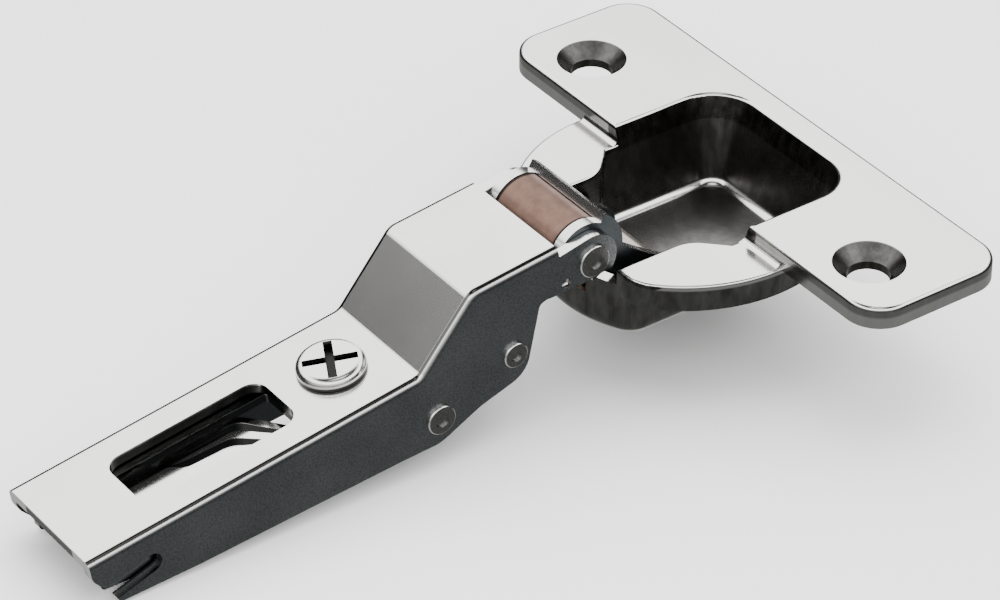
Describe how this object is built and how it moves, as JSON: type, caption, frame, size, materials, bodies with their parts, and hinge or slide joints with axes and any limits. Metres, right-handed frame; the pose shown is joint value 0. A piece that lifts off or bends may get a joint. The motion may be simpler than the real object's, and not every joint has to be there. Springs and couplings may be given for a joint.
{
  "type": "concealed cup hinge",
  "caption": "Concealed cabinet hinge, fully open: a round flanged cup for the door, two links, and a cranked folded arm with window, adjusting screw and hooked tail.",
  "frame": {"origin": "on the axis of the 35 mm cup, in the plane of the door surface under the flange", "axes": "+X from the arm towards the far side of the cup, +Z out of the cup away from the door, +Y along the flange to the left seen from the arm"},
  "size_m": [0.0963, 0.064, 0.0218],
  "materials": {
    "nickel_zinc": "nickel plated die casting, satin bright",
    "nickel_steel": "nickel plated folded sheet",
    "rivet_steel": "plated rivet",
    "spacer_steel": "turned",
    "brown_sleeve": "satin copper brown",
    "dark_bush": "moulded",
    "spring_steel": "drawn wire",
    "screw_steel": "bright plated"
  },
  "bodies": {
    "cup": {"cup": "nickel_zinc", "outer_link_cup_pin": "rivet_steel", "inner_link_cup_pin": "rivet_steel"},
    "outer_link": {"outer_link": "nickel_steel", "knuckle_sleeve": "brown_sleeve"},
    "inner_link": {"inner_link": "nickel_steel"},
    "arm": {"hinge_arm": "nickel_steel", "front_rivet": "rivet_steel", "inner_link_rivet": "rivet_steel", "rear_rivet": "rivet_steel", "spacer_left": "spacer_steel", "spacer_right": "spacer_steel", "spring_bush": "dark_bush", "closing_spring": "spring_steel"},
    "slide": {"adjusting_slide": "nickel_steel"},
    "screw": {"adjusting_screw": "screw_steel"}
  },
  "joints": [
    {"name": "outer_link_fold", "type": "hinge", "parent": "cup", "child": "outer_link", "pos_m": [-0.00662, 0, -0.00418], "axis": [0, 1, 0], "range_deg": [0, 125.9]},
    {"name": "arm_fold", "type": "hinge", "parent": "outer_link", "child": "arm", "pos_m": [-0.0169, 0, 0.0027], "axis": [0, 1, 0], "range_deg": [-27.95, 0]},
    {"name": "inner_link_fold", "type": "hinge", "parent": "cup", "child": "inner_link", "pos_m": [-0.00991, 0, -0.00346], "axis": [0, 1, 0], "range_deg": [0, 126.3]},
    {"name": "side_adjustment", "type": "slide", "parent": "arm", "child": "slide", "axis": [0.9891, 0, 0.1473], "range_m": [-0.0012, 0.0012]},
    {"name": "screw_turn", "type": "hinge", "parent": "slide", "child": "screw", "pos_m": [-0.04424, 0, -0.00399], "axis": [-0.1473, 0, 0.9891], "continuous": true}
  ],
  "couplings": [
    {"joint": "arm_fold", "follows": "outer_link_fold", "ratio": -0.2216},
    {"joint": "inner_link_fold", "follows": "outer_link_fold", "ratio": 1.0024}
  ]
}
